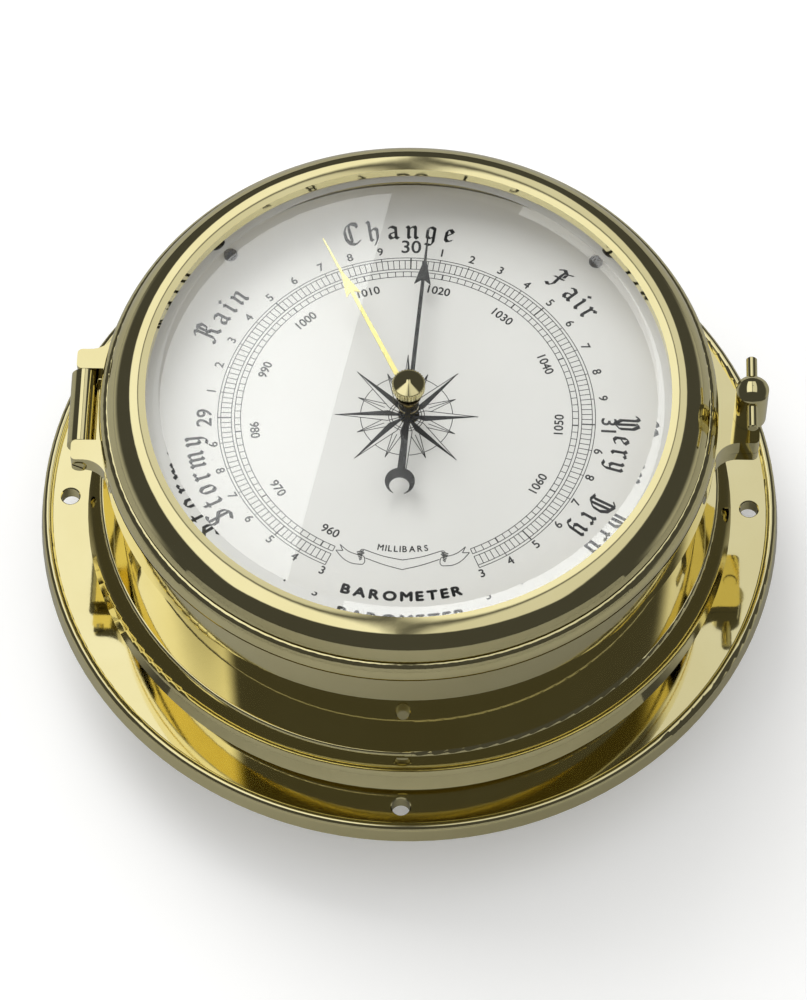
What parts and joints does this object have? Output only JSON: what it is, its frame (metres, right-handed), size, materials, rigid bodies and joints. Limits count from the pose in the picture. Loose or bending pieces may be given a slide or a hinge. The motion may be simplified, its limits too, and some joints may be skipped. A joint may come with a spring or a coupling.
{
  "type": "aneroid barometer",
  "caption": "Round brass wall barometer with a flanged case, a hinged glazed bezel held by a locking screw, a pressure hand, a set hand and an aneroid movement",
  "frame": {"origin": "centre of the flange's back face, on the dial's axis", "axes": "+Z is twelve o'clock, +X is three o'clock, the dial faces -Y"},
  "size_m": [0.21, 0.0709, 0.21],
  "materials": {
    "brass": "mirror polished and lacquered",
    "dark_brass": "satin turned",
    "plain_brass": "fine brushed",
    "hand_brass": "polished",
    "steel": "turned",
    "blued_steel": "heat blued",
    "spring_steel": "ground",
    "capsule_metal": "nickel silver",
    "black_hand": "gloss black",
    "dial_enamel": "satin white with black scale",
    "clear_glass": "clear, bevelled",
    "rubber": "soft black"
  },
  "bodies": {
    "case": {"case_body": "brass", "back_cover": "dark_brass", "back_cover_screws": "steel", "dial_plate": "dial_enamel", "dial_screws": "blued_steel", "dial_posts": "plain_brass", "movement_plate": "plain_brass", "movement_screws": "steel", "bridge_pillars": "plain_brass", "lower_bridge": "plain_brass", "top_bridge": "plain_brass", "bridge_screws": "blued_steel", "aneroid_capsule": "capsule_metal", "capsule_post": "steel", "spring_stand": "plain_brass", "main_spring": "spring_steel", "lever_bracket": "plain_brass", "rocker_posts": "plain_brass", "hairspring": "blued_steel"},
    "indicator": {"hand_arbor": "steel", "hand_hub": "plain_brass", "indicator_hand": "black_hand"},
    "rocker": {"rocker_arbor": "steel"},
    "chain": {"pull_chain": "steel"},
    "lever": {"main_lever": "steel", "link_rod": "steel"},
    "adjuster": {"adjusting_screw": "steel"},
    "bezel": {"bezel_ring": "brass", "hinge_screw": "brass", "glass": "clear_glass", "glass_gasket": "rubber", "glass_retaining_ring": "plain_brass", "knob_bush": "plain_brass"},
    "set_hand": {"set_knob": "brass", "set_hand": "hand_brass"},
    "lock": {"locking_screw": "brass", "tommy_bar": "brass"}
  },
  "joints": [
    {"name": "indicator_pivot", "type": "hinge", "parent": "case", "child": "indicator", "pos_m": [0, -0.045, 0], "axis": [0, -1, 0], "range_deg": [-152.2, 160.6]},
    {"name": "rocker_pivot", "type": "hinge", "parent": "case", "child": "rocker", "pos_m": [0.024, -0.028, 0.003], "axis": [0, 0, -1], "range_deg": [-16.5, 16.5]},
    {"name": "chain_pin", "type": "hinge", "parent": "rocker", "child": "chain", "pos_m": [0.024, -0.041, 0.0013], "axis": [0, 0, 1], "range_deg": [-16.5, 16.5]},
    {"name": "lever_pivot", "type": "hinge", "parent": "case", "child": "lever", "pos_m": [-0.028, -0.036, 0.006], "axis": [0, 0, -1], "range_deg": [-1.5, 1.5]},
    {"name": "adjusting_screw_turn", "type": "hinge", "parent": "case", "child": "adjuster", "pos_m": [-0.032, -0.019, 0], "axis": [0, 1, 0], "continuous": true},
    {"name": "bezel_hinge", "type": "hinge", "parent": "case", "child": "bezel", "pos_m": [-0.09, -0.0512, 0], "axis": [0, 0, -1], "range_deg": [0, 115]},
    {"name": "set_hand_turn", "type": "hinge", "parent": "bezel", "child": "set_hand", "pos_m": [0, -0.064, 0], "axis": [0, -1, 0], "continuous": true},
    {"name": "lock_turn", "type": "hinge", "parent": "bezel", "child": "lock", "pos_m": [0.0937, -0.052, 0], "axis": [0, -1, 0], "continuous": true}
  ],
  "couplings": [
    {"joint": "rocker_pivot", "follows": "indicator_pivot", "ratio": 0.1},
    {"joint": "chain_pin", "follows": "indicator_pivot", "ratio": 0.1},
    {"joint": "lever_pivot", "follows": "indicator_pivot", "ratio": 0.00877}
  ]
}
